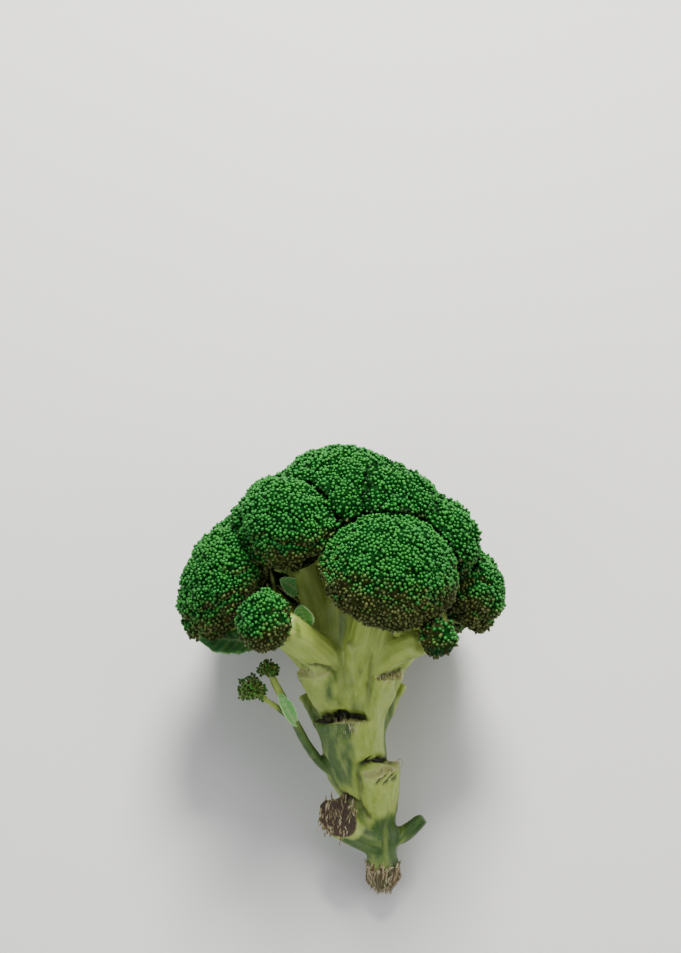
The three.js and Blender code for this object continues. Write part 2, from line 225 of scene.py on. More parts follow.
def bezier(a, b, c, count):
    t = np.linspace(0, 1, count)[:, None]
    a, b, c = (np.asarray(x, float) for x in (a, b, c))
    return a * (1 - t) ** 2 + 2 * b * t * (1 - t) + c * t ** 2


def through(points, count):
    """A smooth line through the points."""
    p = np.asarray(points, float)
    along = concatenate([[0], np.cumsum(norm(np.diff(p, axis=0), axis=1))])
    slope = np.gradient(p, along, axis=0)
    s = np.linspace(0, along[-1], count)
    k = np.clip(np.searchsorted(along, s, side="right") - 1, 0, len(p) - 2)
    h = (along[k + 1] - along[k])[:, None]
    t = ((s - along[k])[:, None]) / h
    return ((2 * t**3 - 3 * t**2 + 1) * p[k] + (t**3 - 2 * t**2 + t) * h * slope[k]
            + (3 * t**2 - 2 * t**3) * p[k + 1] + (t**3 - t**2) * h * slope[k + 1])


def band(low, high, sides):
    """Triangles between two rings of points, whose first are low and high."""
    i = np.arange(sides)
    j = (i + 1) % sides
    return concatenate([stacked(low + i, low + j, high + j), stacked(low + i, high + j, high + i)])


def tube(line, radius, sides=8, flat=1.0, facing=None, rough=0.0, seed=0):
    """A closed tube along a line, round at both ends, of one radius or one for each point."""
    p = np.asarray(line, float)
    r = np.broadcast_to(radius, len(p))
    tangent = unit(np.gradient(p, axis=0))
    side = unit(np.cross(tangent[0], facing if facing is not None else (0.3, -0.9, 0.2)))
    sides_at = []
    for k in range(len(p)):
        side = unit(side - tangent[k] * (side @ tangent[k]))
        sides_at.append(side)
    side = np.array(sides_at)
    out = np.cross(tangent, side)
    turn = np.arange(sides) * 2 * pi / sides
    ring = np.cos(turn)[None, :, None] * side[:, None] + np.sin(turn)[None, :, None] * out[:, None] * flat
    v = (p[:, None] + ring * r[:, None, None]).reshape(-1, 3)
    if rough:
        v = v + unit(v - np.repeat(p, sides, 0)) * (noise(v * 1.3, seed) * rough)[:, None]
    ends = np.array([p[0] - tangent[0] * r[0] * 0.5, p[-1] + tangent[-1] * r[-1] * 0.5])
    v = concatenate([v, ends])
    i = np.arange(sides)
    j = (i + 1) % sides
    last, foot, top = (len(p) - 1) * sides, len(v) - 2, len(v) - 1
    t = [band(k * sides, (k + 1) * sides, sides) for k in range(len(p) - 1)]
    t = concatenate(t + [stacked(i * 0 + foot, j, i), stacked(i * 0 + top, last + i, last + j)])
    a, b, c = v[t.T]
    return v, t[:, ::-1] if dots(a, np.cross(b, c)).sum() < 0 else t


def add_piece(name, v, faces, material, replaces, colours, uv=None):
    """A piece of the visual model, given in the grown frame, that rides on the root body."""
    row = to_row(v)
    row[:, 2] = np.maximum(row[:, 2], FLOOR / 1000)
    mesh = new_mesh(name, row, faces)
    for key, values in colours.items():
        layer = mesh.attributes.new(key, "FLOAT_COLOR", "POINT")
        layer.data.foreach_set("color", np.asarray(values, np.float32).ravel())
    if uv is not None:
        layer = mesh.uv_layers.new(name="OFBake")
        layer.uv.foreach_set("vector", np.asarray(uv, np.float32).ravel())
    mesh.polygons.foreach_set("use_smooth", np.ones(len(mesh.polygons), bool))
    mesh.materials.append(material)
    piece = linked(name, mesh)
    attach(piece, "root")
    if replaces:
        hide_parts(*replaces)
    return piece


# ---- materials

def shader(name, roughness, specular=0.4, subsurface=0.0):
    """A new material and small helpers to wire its nodes."""
    made = bpy.data.materials.new(name)
    made.use_nodes = True
    nodes, links = made.node_tree.nodes, made.node_tree.links
    surface = nodes["Principled BSDF"]

    def put(socket, value):
        if isinstance(value, (int, float)):
            socket.default_value = value
        elif isinstance(value, tuple):
            socket.default_value = (*value, 1.0)[: len(socket.default_value)]
        else:
            links.new(value, socket)

    put(surface.inputs["Roughness"], roughness)
    put(surface.inputs["Specular IOR Level"], specular)
    if subsurface:
        for key, value in (("Weight", subsurface), ("Scale", 0.002), ("Radius", (1.0, 1.0, 0.4))):
            put(surface.inputs["Subsurface " + key], value)

    def new(kind, **values):
        node = nodes.new("ShaderNode" + kind)
        for key, value in values.items():
            put(node.inputs[key.replace("_", " ")], value)
        return node

    def mix(share, a, b, how="MIX"):
        node = new("Mix")
        node.data_type, node.blend_type = "RGBA", how
        for k, value in ((0, share), (6, a), (7, b)):
            put(node.inputs[k], value)
        return node.outputs[2]

    def painted(key):
        """The three parts of a colour that the points hold, its alpha, and the whole as a place."""
        node = new("Attribute")
        node.attribute_name = key
        parts = new("SeparateColor", Color=node.outputs["Color"]).outputs
        return (*parts, node.outputs["Alpha"], node.outputs["Vector"])

    def spots(scale, detail, stretch=None, where=None):
        where = where or new("TexCoord").outputs["Object"]
        if stretch:
            where = new("Mapping", Vector=where, Scale=stretch).outputs["Vector"]
        return new("TexNoise", Vector=where, Scale=scale, Detail=detail).outputs["Fac"]

    def span(value, low, high, to_low=0.0, to_high=1.0):
        node = new("MapRange", Value=value, From_Min=low, From_Max=high, To_Min=to_low, To_Max=to_high)
        return node.outputs["Result"]

    def bump(height, strength, distance, under=None):
        node = new("Bump", Height=height, Strength=strength, Distance=distance)
        if under:
            links.new(under, node.inputs["Normal"])
        return node.outputs["Normal"]

    def out(colour, normal=None, rough=None):
        for key, value in (("Base Color", colour), ("Normal", normal), ("Roughness", rough)):
            if value:
                links.new(value, surface.inputs[key])
        return made

    return mix, painted, spots, span, bump, out


def bud_material():
    """Buds: look holds each one's own tone; how near its tip a point is, which gives each tip a painted
    highlight and its base painted shade; how far underneath the floret it grew, whose colour is partly
    painted shade;
    and how open its place is, which darkens closed places with painted shade."""
    mix, painted, spots, span, bump, out = shader("buds", 0.5, 0.22)
    tone_of, tip, under, free, _ = painted("look")
    patch = span(spots(55, 3), 0.35, 0.65)
    # Painted light on every bud: a dark painted shade at its base and a light painted highlight at its tip.
    painted_base_shade = mix(patch, (0.002, 0.036, 0.005), (0.006, 0.056, 0.006))
    green = mix(tone_of, mix(patch, (0.004, 0.082, 0.012), (0.009, 0.1, 0.009)),
                mix(patch, (0.009, 0.14, 0.017), (0.022, 0.165, 0.016)))
    painted_tip_highlight = mix(tone_of, (0.02, 0.25, 0.034), (0.062, 0.35, 0.046))
    tipped = mix(span(tip, 0.0, 0.45), painted_base_shade, green)
    tipped = mix(span(tip, 0.45, 1.0, 0.0, 0.85), tipped, painted_tip_highlight)
    yellow = span(spots(70, 2), 0.52, 0.68)
    # Underneath a floret the buds turn olive and straw; part of their darkness there is painted shade.
    olive = mix(tone_of, (0.018, 0.026, 0.006), (0.06, 0.066, 0.014))
    straw = mix(tone_of, (0.058, 0.074, 0.018), mix(yellow, (0.17, 0.17, 0.046), (0.3, 0.31, 0.08)))
    yellowed_and_shaded = mix(span(tip, 0.0, 0.9), olive, straw)
    body = mix(span(under, 0.0, 1.0, 0.0, 0.92), tipped, yellowed_and_shaded)
    # Painted shade: buds in closed places, where the look's alpha is low, are darkened.
    shade = mix(1.0, body, mix(free, (0.4, 0.42, 0.36), (1.0, 1.0, 1.0)), "MULTIPLY")
    rough = span(spots(400, 2), 0.3, 0.7, 0.42, 0.6)
    return out(shade, bump(spots(1600, 2), 0.25, 0.0004), rough)


def gap_material():
    """What shows between the buds, kept nearly black as painted shade between them: dark green above, olive
    below.
    """
    mix, painted, spots, span, bump, out = shader("bud_gaps", 0.95, 0.05)
    under = painted("look")[2]
    patch = span(spots(300, 3), 0.35, 0.65)
    # Very dark: painted shade between the buds.
    body = mix(under, mix(patch, (0.001, 0.018, 0.002), (0.003, 0.034, 0.004)),
               mix(patch, (0.014, 0.018, 0.004), (0.042, 0.044, 0.011)))
    return out(body, bump(spots(1200, 2), 0.3, 0.0004))


def skin_material():
    """Stalk, branches and leaf stubs: paint holds how dark green (partly painted shade), freshly cut and
    dried a point is, the dried crust also standing for painted shadow in the slits, and how waxy. grain is
    its place beside its own limb, in centimetres, and, as its alpha, how much painted shadow darkens it."""
    mix, painted, spots, span, bump, out = shader("stalk_skin", 0.42, 0.4, 0.12)
    dark, cut, dried, waxy, _ = painted("paint")
    *_, light, where = painted("grain")
    streak = spots(4.0, 4, (1.0, 1.0, 0.07), where)
    thin = spots(14.0, 3, (1.0, 1.0, 0.04), where)
    cloud = spots(0.8, 3, None, where)
    speck = spots(38.0, 2, (1.0, 1.0, 0.6), where)
    pale = mix(span(streak, 0.3, 0.7), (0.235, 0.32, 0.042), (0.355, 0.44, 0.082))
    pale = mix(span(thin, 0.42, 0.66, 0.0, 0.28), pale, (0.5, 0.57, 0.17))
    leafy = mix(span(streak, 0.35, 0.65), (0.014, 0.056, 0.007), (0.046, 0.112, 0.013))
    body = mix(dark, pale, leafy)
    body = mix(span(cloud, 0.45, 0.7, 0.0, 0.45), body, mix(0.5, body, (0.12, 0.2, 0.02)))
    body = mix(span(speck, 0.56, 0.72, 0.0, 0.22), body, mix(0.6, body, (0.6, 0.66, 0.3)))
    body = mix(waxy, body, mix(0.3, body, (0.46, 0.54, 0.2)))
    fleck = spots(30.0, 3, (1.0, 1.0, 0.25), where)
    flesh = mix(span(fleck, 0.35, 0.65), (0.38, 0.41, 0.13), (0.6, 0.62, 0.27))
    body = mix(cut, body, flesh)
    crust = mix(span(fleck, 0.38, 0.66), (0.01, 0.006, 0.003), (0.085, 0.05, 0.022))
    # Dried crust, which also stands for the painted shadow in the slits.
    body = mix(dried, body, crust)
    # Painted shadow in the slits and creases, from grain's alpha.
    body = mix(1.0, body, mix(light, (0.0, 0.0, 0.0), (1.0, 1.0, 1.0)), "MULTIPLY")
    rough = span(streak, 0.3, 0.7, 0.36, 0.55)
    normal = bump(thin, 0.3, 0.0006, bump(spots(60.0, 2, (1.0, 1.0, 0.3), where), 0.12, 0.0004))
    return out(body, normal, rough)


def leaf_material():
    """Leaflets: paint holds the veins, a painted highlight along the rim, and how yellow a point is."""
    mix, painted, spots, span, bump, out = shader("leaflets", 0.4, 0.45, 0.1)
    vein, rim, young, *_ = painted("paint")
    mottle = span(spots(160, 4), 0.35, 0.65)
    blade = mix(mottle, (0.02, 0.11, 0.03), (0.045, 0.19, 0.05))
    blade = mix(young, blade, mix(mottle, (0.1, 0.37, 0.08), (0.2, 0.5, 0.14)))
    blade = mix(vein, blade, (0.33, 0.47, 0.19))
    # Painted highlight along the blade's edge.
    blade = mix(rim, blade, (0.52, 0.74, 0.36))
    return out(blade, bump(spots(900, 3), 0.25, 0.0003), span(mottle, 0, 1, 0.34, 0.5))


def fibre_material():
    """Frayed fibres: paint's first part is how brown one is."""
    mix, painted, spots, span, bump, out = shader("fibres", 0.7, 0.25)
    brown = painted("paint")[0]
    fleck = span(spots(700, 3), 0.35, 0.65)
    straw = mix(fleck, (0.42, 0.36, 0.19), (0.66, 0.6, 0.4))
    burnt = mix(fleck, (0.06, 0.038, 0.016), (0.2, 0.14, 0.065))
    return out(mix(brown, straw, burnt), bump(spots(1500, 2), 0.2, 0.0003))


BUDS, GAPS, SKIN = bud_material(), gap_material(), skin_material()
LEAFY, FIBRE = leaf_material(), fibre_material()


# ---- the stalk, its branches and stubs

def floret_axis(name):
    return unit(np.array(FLORETS[name][0]) - FORK)


def floret_axes(name):
    """The floret's own axes as rows: across, along and out."""
    out = floret_axis(name)
    across = unit(np.cross((0, 0, 1), out))
    return np.array([across, np.cross(out, across), out])


def branch_line(name):
    """The middle of a branch, from inside the stalk into its floret."""
    centre, radius, _, _, _, start = FLORETS[name]
    start = np.array(start)
    end = np.array(centre) + floret_axis(name) * radius * BRANCH_REACH
    bend = start + (end - start) * 0.45 + np.array([0, 0, 0.12]) * norm(end - start)
    return bezier(start, bend, end, 41)[: int(41 * BRANCH_SHOWN)]


def cut_plane(shape, toward):
    """(normal, its middle, how far it reaches) of the largest flat face of a shape that looks that way."""
    v, t = shape
    a, b, c = v[t.T]
    n = np.cross(b - a, c - a)
    area = norm(n, axis=1)
    n = unit(n)
    best = (0, 0, area > 0)
    for k in np.argsort(-area * (n @ unit(toward) > 0.6))[:25]:
        same = (n @ n[k] > 0.995) & (np.abs((a - a[k]) @ n[k]) < 0.25)
        if area[same].sum() > best[0]:
            best = (area[same].sum(), k, same)
    _, k, same = best
    points = v[np.unique(t[same])]
    middle = points.mean(0)
    return n[k], middle, norm(points - middle, axis=1).max()


TOWARD = {"stump_low_left": (-0.35, -0.9, 0.2)}  # the way its cut looks; the stubs' cuts look up
STUBS = [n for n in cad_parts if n.startswith("leaf_base_")]
BRANCHES = [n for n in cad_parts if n.startswith("branch_")]
SHOOTS = ["shoot_stem", "shoot_twig"]
OTHERS = ["stump_low_left", "bud_low_right"]

# The middles of the limbs, and the stalk's radius by height.
STALK_HEIGHTS = [0, 25, 48, 72, 96, 121]
STALK_RADII = [8.8, 8.1, 13.4, 16.2, 18.8, 22.5]
LIMBS = [  # the stalk, the thin shoot and its twig, the dried stump and the low bud, each with its radius
    ([(0, 0, -10), (0, 0, 0), (-1.31, 0, 24.58), (-7.87, 0, 48.31), (-14.9, 0, 71.74), (-15.54, 0, 96.39),
      (-17, 0, 121), (-17.5, 0, 135)], 16.0),
    ([(-20, -4, 54), (-32.18, -6.3, 64.87), (-40.18, -8.3, 76.87), (-49.18, -9.3, 94.87),
      (-57.18, -9.3, 109.87)], 2.5),
    ([(-43.18, -8.8, 82.87), (-53.18, -10.3, 91.87), (-65.18, -11.3, 99.87)], 1.6),
    ([(-4, -1, 20), (-12, -6, 24), (-25, -12.7, 37)], 8.0),
    ([(6, 0, 18), (13, -1, 24), (21, -2.2, 35)], 4.0),
]


def grain_of(v):
    """Each point's place beside its limb: across, out and along; and how clearly it is that limb's."""
    limbs = LIMBS + [(branch_line(n)[::2], FLORETS[n][4]) for n in FLORETS]
    best, second = np.full(len(v), 1e9), np.full(len(v), 1e9)
    grain = np.zeros((len(v), 3))
    for k, (line, thick) in enumerate(limbs):
        line = through(line, 24)
        tangent = unit(np.gradient(line, axis=0))
        along = concatenate([[0], np.cumsum(norm(np.diff(line, axis=0), axis=1))])
        off = v[:, None] - line[None]
        near = np.argmin((off**2).sum(2), axis=1)
        off = off[np.arange(len(v)), near]
        t = tangent[near]
        across = unit(np.cross(t, (0.0, 1.0, 0.0)))
        place = stacked(dots(off, across), dots(off, np.cross(across, t)), along[near] + dots(off, t))
        if k == 0:
            thick = np.interp(along[near], along, np.interp(line[:, 2], STALK_HEIGHTS, STALK_RADII))
        gap = norm(off, axis=1) / thick
        closer = gap < best
        second = np.where(closer, best, np.minimum(second, gap))
        best = np.where(closer, gap, best)
        grain[closer] = place[closer] + (k * 37.0, k * 11.0, 0)
    return grain, ramp(second - best, 0.02, 0.22)


def stalk_skin():
    """One skin over stalk, branches, stubs, stump, bud and shoot, with soft joints and crisp cuts."""
    shapes = {n: node_shape(n) for n in ["stalk", *STUBS, *OTHERS, *SHOOTS]}
    lines = {n: branch_line(n)[::2] for n in FLORETS}
    limbs = [tube(line, FLORETS[n][4] * np.linspace(1, 1.05, len(line)), 18) for n, line in lines.items()]
    fillers = [tube([(-8, -15.5, 76), (-7.5, -15.0, 88), (-8, -13.0, 100)], [5.5, 6.0, 5.5], 16),
               tube([(-14, -19, 104), (-13, -21, 116), (-12.5, -20.5, 125)], [3.5, 4.6, 4.0], 14),
               tube([(-2, -17, 96), (-4.2, -19.5, 110), (-6, -19.5, 122)], [2.0, 2.6, 2.0], 12)]
    soft = remeshed([shapes[n] for n in ["stalk", *STUBS, *OTHERS]] + limbs + fillers, SOFT_VOXEL, 9)
    soft = (soft[0], as_triangles(soft[1]))
    v, quads = remeshed([soft] + [shapes[n] for n in [*STUBS, *OTHERS, *SHOOTS]], CRISP_VOXEL, 3)
    n = normals_of(v, quads)
    x, y, z = v.T

    cut, dried, shadow = np.zeros((3, len(v)))
    for name in [*STUBS, "stump_low_left"]:
        way, middle, reach = cut_plane(shapes[name], TOWARD.get(name, (0, 0, 1)))
        off = (v - middle) @ way
        near = ramp(-np.abs(off), -1.6, -0.5) * ramp(n @ way, 0.55, 0.85)
        near = near * (norm(v - middle, axis=1) < reach + 1.5)
        cut = np.maximum(cut, near)
        if name == "stump_low_left":
            dried = np.maximum(dried, near)
    butt = ramp(-z + 2.6 * noise(v * (0.6, 0.6, 0.12), 3), -14.0, -8.5)
    dried = np.maximum(dried, butt * 0.9)
    rim = ramp(tone(v, 0.5, 12), 0.15, 0.7) * cut * 0.4
    dried = np.clip(dried + rim, 0, 1)

    whole = 1 - np.clip(cut, 0, 1)
    wide = ramp(np.hypot(x + 14, y), 3.0, 12.0)
    along, clear = grain_of(v)
    move = tone(along, (0.3, 0.3, 0.018), 21) * 0.85 * whole * wide * clear
    move += tone(along, (0.95, 0.95, 0.06), 22) * 0.32 * whole * clear
    move += tone(v, 0.16, 23) * 0.5 * whole
    move += tone(v, 0.9, 24, 2) * 0.28 * cut
    move += tone(v, (1.6, 1.6, 0.2), 25, 2) * 0.8 * butt
    facing = ramp(-n[:, 1], 0.05, 0.35)
    for *ends, width, depth, darkness in GROOVES:
        here = groove_at(v, ends, width)
        move -= depth * here * facing
        # Painted shadow in the grooves: on front-facing points, and over the whole front for the darkest.
        ledge = facing if darkness < 1 else 1.0 * (y < -3)
        shadow = np.maximum(shadow, darkness * ramp(here * ledge, 0.35, 0.9))
    v = v + n * move[:, None]
    around = stacked(np.arctan2(y, x) * 2.2, z * 0, z * 0)
    taper = ramp(-z, -9.0, 1.0) * (0.34 + 0.22 * noise(around, 26))
    v[:, :2] *= (1 - taper * (z < 12))[:, None]

    # Dark green patches, partly the stalk's own colour and partly painted shade: darker lower down and on
    # the left side, paler towards the top.
    side = np.clip(-(x + 15) / 11, -0.25, 1) * ramp(-z, -96, -78)
    low = ramp(-z, -46, -24) * ramp(np.hypot(x + 19, z - 39), 10, 16)
    patch = tone(v, (0.085, 0.085, 0.03), 31, 3)
    dark = ramp(patch * 1.1 + 0.4 * side + 0.62 * low - 0.3 * ramp(z, 85, 118), 0.1, 0.5)
    dark = dark * (0.6 + 0.4 * ramp(tone(along, (0.5, 0.5, 0.05), 32), -0.5, 0.2))
    # The painted shadow in the slits also takes the dark crust colour.
    dried = np.maximum(dried, 0.8 * shadow)
    bud = norm(v - np.array([14, -1, 30]), axis=1)
    dark = np.maximum(dark, ramp(-bud, -14, -8) * ramp(x, 8, 12))
    waxy = ramp(tone(v, 0.12, 33), -0.1, 0.5) * 0.8 * (1 - 0.75 * dark)
    # paint: dark green (partly painted shade), cut, dried with the slits' painted shadow, and waxy; grain's
    # alpha is the painted shadow.
    paint = stacked(dark * (1 - cut), cut * (1 - 0.4 * dried), dried, waxy)
    grain = concatenate([along / 10, 1 - 0.9 * shadow[:, None]], 1)
    return v, quads, {"paint": paint, "grain": grain}


# Creases and slits in the front of the skin: x and z of both ends, width, depth, how dark the painted shadow
# in them is.
GROOVES = [
    (-34.5, 84.6, -25, 86.8, 1.9, 2.5, 1.0),
    (-30.5, 86.6, -20, 88.6, 1.7, 5.4, 1.0),
    (-23, 88.6, -11, 88.2, 1.6, 5.0, 1.0),
    (-14, 88.8, -8, 87.2, 1.1, 2.5, 0.6),
    (-11.5, 63.5, -3, 66.4, 1.6, 4.2, 1.0),
    (-6, 66.4, 4.5, 65.0, 1.4, 3.6, 1.0),
    (-3.5, 54.5, 1.0, 59.5, 0.75, 2.0, 0.9),
    (0.5, 54.0, 5.5, 59.5, 0.75, 2.0, 0.9),
    (4.5, 55.5, 8.0, 60.0, 0.7, 1.6, 0.7),
    (-42, 113.5, -25, 112.0, 1.1, 1.8, 0.5),
    (-20, 121, -19, 98, 1.3, 1.0, 0.15),
    (-6, 120, -8, 92, 1.3, 1.2, 0.2),
    (-3, 107, 10, 110, 1.1, 1.8, 0.6),
    (6.5, 106, 9.0, 84, 1.5, 1.4, 0.1),
    (-22, 49, -12, 44, 1.3, 1.6, 0.5),
    (-12, 44, -6, 36, 1.2, 1.4, 0.4),
    (-13, 62, -11, 44, 1.4, 1.3, 0.3),
]


def groove_at(v, ends, width):
    """How far into a crease each point is, from 0 to 1."""
    a, b = np.array(ends[:2]), np.array(ends[2:])
    p = v[:, [0, 2]] + 0.5 * stacked(noise(v * 0.6, 81), noise(v * 0.6, 82))
    t = np.clip(((p - a) @ (b - a)) / ((b - a) @ (b - a)), 0, 1)
    off = norm(p - a - t[:, None] * (b - a), axis=1)
    return np.exp(-((off / width) ** 2)) * np.sin(np.clip(0.12 + t * 0.76, 0, 1) * pi) ** 0.5


# ---- florets

def nearest_two(points, seeds, batch=400):
    """Distances from each point to its nearest and second nearest seed."""
    two = []
    for k in range(0, len(points), batch):
        d = norm(points[k : k + batch, None] - seeds[None], axis=2)
        two.append(np.partition(d, 1, axis=1)[:, :2])
    return concatenate(two).T


def seeds_on(v, spacing, rng):
    """Points of v, in random order, that stay at least spacing apart."""
    chosen = np.empty((0, 3))
    for k in rng.permutation(len(v))[:4000]:
        if not len(chosen) or ((chosen - v[k]) ** 2).sum(1).min() > spacing**2:
            chosen = np.vstack([chosen, v[k]])
    return chosen


UNDERSIDE = {"low_left": 0.75, "low_right": 1.1, "right": 0.5, "front_right": 0.55, "left": 0.12,
             "upper_left": 0.0}  # how far up the colour of its underside, partly painted shade, climbs
UNDERSIDE_ELSEWHERE = -0.28
LUMPS = {"front_right": 0.55, "low_left": 0.7, "low_right": 0.7}  # lower than the other florets' lumps
LUMP_SPACING, KNOT_SPACING = 13.0, 5.2


def underness(name, points, normals):
    """From 0 on a floret's sunny side to 1 on its underside, with ragged patches between; the underside
    colour is partly painted shade.
    """
    up = normals[:, 2]
    # Points that face down count as more underneath: painted shade.
    side = -0.95 * up + (fall_of(name, points) - 80) / 62 + UNDERSIDE.get(name, UNDERSIDE_ELSEWHERE)
    side = side - 1.3 * ramp(up, 0.05, 0.55)
    return ramp(side + 0.3 * noise(points / 4.5, 51) + 0.15 * noise(points / 1.7, 57), 0.02, 0.95)


def fall_of(name, points):
    """Degrees from the floret's tip: 0 on top, 90 at its rim, more underneath."""
    centre = np.array(FLORETS[name][0])
    return np.degrees(np.arccos(np.clip(unit(points - centre) @ floret_axis(name), -1, 1)))


def drawn_in(fall):
    """The share of its width that a floret keeps at a fall in radians from its tip."""
    return 1 - 0.4 * ramp(fall, radians(95), radians(150))


def rounded(name, v):
    """Moves the points near a floret's outline onto it, so that none of the CAD's flat facets is left."""
    centre, radius, wide, tall, _, _ = FLORETS[name]
    axes = floret_axes(name)
    local = (v - np.array(centre)) @ axes.T
    flat = local / np.array([wide, tall, 1.0])
    flat[:, 2] /= np.where(flat[:, 2] < 0, 0.8, 1.0)
    fall = np.arctan2(np.hypot(flat[:, 0], flat[:, 1]), flat[:, 2])
    flat[:, :2] /= drawn_in(fall)[:, None]
    size = norm(flat, axis=1)
    near = ramp(-np.abs(radius - size), -2.2, -1.2)
    stretch = 1 + near * (radius / np.maximum(size, 1e-6) - 1)
    return np.array(centre) + (local * stretch[:, None]) @ axes


def floret_core(name, rng):
    """The lumpy body under a floret's buds."""
    v, quads = remeshed([node_shape("floret_" + name)], CORE_VOXEL, 9)
    v = rounded(name, v)
    n = normals_of(v, quads)
    radius = FLORETS[name][1]
    calm = LUMPS.get(name, 1.0)
    big = seeds_on(v, min(LUMP_SPACING, radius * 0.55), rng)
    small = seeds_on(v, KNOT_SPACING, rng)
    f1, f2 = nearest_two(v, big)
    g1, g2 = nearest_two(v, small)
    move = -1.9 * calm * np.exp(-(((f2 - f1) / 2.6) ** 2)) + 0.5 * calm * (1 - (f1 / 9.0) ** 2).clip(-1, 1)
    move -= 0.95 * np.exp(-(((g2 - g1) / 1.5) ** 2))
    move += tone(v, 1 / 7.0, 41) * 0.6
    under = ramp(fall_of(name, v), 118, 140)
    move -= INSET + 1.2 * under
    return v + n * move[:, None], quads


def scatter(v, quads, spacing, rng):
    """Points on a skin, none nearer to another than spacing, with their smooth normals."""
    t = as_triangles(quads)
    n = normals_of(v, quads)
    a, b, c = v[t.T]
    area = norm(np.cross(b - a, c - a), axis=1) / 2
    count = int(area.sum() / spacing**2 * 9)
    pick = np.searchsorted(np.cumsum(area) / area.sum(), rng.random(count)).clip(0, len(t) - 1)
    s, u = np.sqrt(rng.random(count)), rng.random(count)
    w = stacked(1 - s, s * (1 - u), s * u)
    p = np.einsum("ij,ijk->ik", w, v[t[pick]])
    normal = unit(np.einsum("ij,ijk->ik", w, n[t[pick]]))
    cell = np.floor(p / spacing).astype(np.int64) + 2000
    key = cell[:, 0] * 16777216 + cell[:, 1] * 4096 + cell[:, 2]
    around = [i * 16777216 + j * 4096 + k for i in (-1, 0, 1) for j in (-1, 0, 1) for k in (-1, 0, 1)]
    grid, kept = {}, []
    points, keys, limit = p.tolist(), key.tolist(), spacing**2
    for i, (x, y, z) in enumerate(points):
        near = (q for step in around for q in grid.get(keys[i] + step, ()))
        if all((qx - x) ** 2 + (qy - y) ** 2 + (qz - z) ** 2 >= limit for qx, qy, qz in near):
            grid.setdefault(keys[i], []).append((x, y, z))
            kept.append(i)
    return p[kept], normal[kept]


def openness(points, normals, tree, reach=28.0, count=12):
    """How much of what a point can look out at is free, from 0 to 1."""
    rays = []
    for k in range(count):
        z = 1 - (k + 0.5) / (count + 1)
        r = sqrt(1 - z * z)
        rays.append((r * cos(GOLDEN * k), r * sin(GOLDEN * k), z))
    rays = np.array(rays)
    side = unit(np.cross(normals, (0.31, 0.17, 0.93)))
    up = np.cross(normals, side)
    out = np.zeros(len(points))
    for k, p in enumerate(points):
        start = Vector(p + normals[k] * 1.7)
        for way in rays @ np.array([side[k], up[k], normals[k]]):
            far = tree.ray_cast(start, Vector(way), reach)[3]
            out[k] += (reach if far is None else min(reach, far)) / reach
    return out / count


def bud_template():
    """One bud with four sepals: vertices, triangles, how near the tip each is, flat map of each corner."""
    ring = np.arange(8) * pi / 4
    lobes = np.cos(4 * ring)
    rows = [(-0.38, 0.8 + 0 * lobes), (0.32, 1.0 + 0.03 * lobes), (0.95, 0.68 + 0.1 * lobes)]
    v = [np.array([[0, 0, -0.85]])]
    for z, r in rows:
        level = np.full(8, z) + (0.05 * lobes if z > 0.9 else 0)
        v.append(stacked(np.cos(ring) * r, np.sin(ring) * r, level))
    v.append(np.array([[0, 0, 1.16]]))
    v = concatenate(v)
    i = np.arange(8)
    spread = (0.96, 0.7, 0.4)  # of the three rings on the flat map
    at = lambda r, k: stacked(np.cos(k * pi / 4) * r, np.sin(k * pi / 4) * r)
    j = (i + 1) % 8
    t = [stacked(i * 0, 1 + j, 1 + i), band(1, 9, 8), band(9, 17, 8),
         stacked(17 + i, 17 + j, i * 0 + 25)]
    flat = [stacked(at(1.0, i + 0.5), at(spread[0], i + 1), at(spread[0], i))]
    for low, high in zip(spread, spread[1:]):
        flat.append(stacked(at(low, i), at(low, i + 1), at(high, i + 1)))
        flat.append(stacked(at(low, i), at(high, i + 1), at(high, i)))
    flat.append(stacked(at(spread[2], i), at(spread[2], i + 1), at(0.0, i)))
    # How near the tip each point is: it sets the painted highlight on the tip and the painted shade at the
    # base.
    tip = concatenate([[0], np.full(8, 0.0), np.full(8, 0.25), 0.85 + 0.15 * lobes, [0.55]])
    return v, concatenate(t), tip, concatenate(flat)


BUD = bud_template()


def place_buds(points, normals, sizes, heights, rng, tilt):
    """Every bud's vertices and triangles, each turned and tipped its own way."""
    template, triangles, _, _ = BUD
    lean = unit(normals + rng.normal(0, tilt, normals.shape))
    side = unit(np.cross(lean, unit(rng.normal(0, 1, normals.shape))))
    v = points[:, None]
    for k, (way, size) in enumerate(((side, sizes), (np.cross(lean, side), sizes), (lean, sizes * heights))):
        v = v + template[None, :, k, None] * (way * size[:, None])[:, None]
    t = triangles[None] + (np.arange(len(points)) * len(template))[:, None, None]
    return v.reshape(-1, 3), t.reshape(-1, 3)


def bud_look(tones, under, shade):
    """The look of every point of the buds, from one value for each bud."""
    per = len(BUD[0])
    return stacked(np.repeat(tones, per), np.tile(BUD[2], len(tones)), np.repeat(under, per),
                   np.repeat(shade, per))


def bud_map(count, low):
    """A square of the flat map for each bud, in rows above low."""
    flat = BUD[3]
    columns = max(1, ceil(sqrt(count / (1 - low))))
    rows = ceil(count / columns)
    half = min(1 / columns, (1 - low) / rows) / 2
    k = np.arange(count)
    middle = stacked((k % columns + 0.5) / columns, low + (k // columns + 0.5) * (1 - low) / rows)
    return (middle[:, None, None] + flat[None] * half * 0.94).reshape(-1, 2)


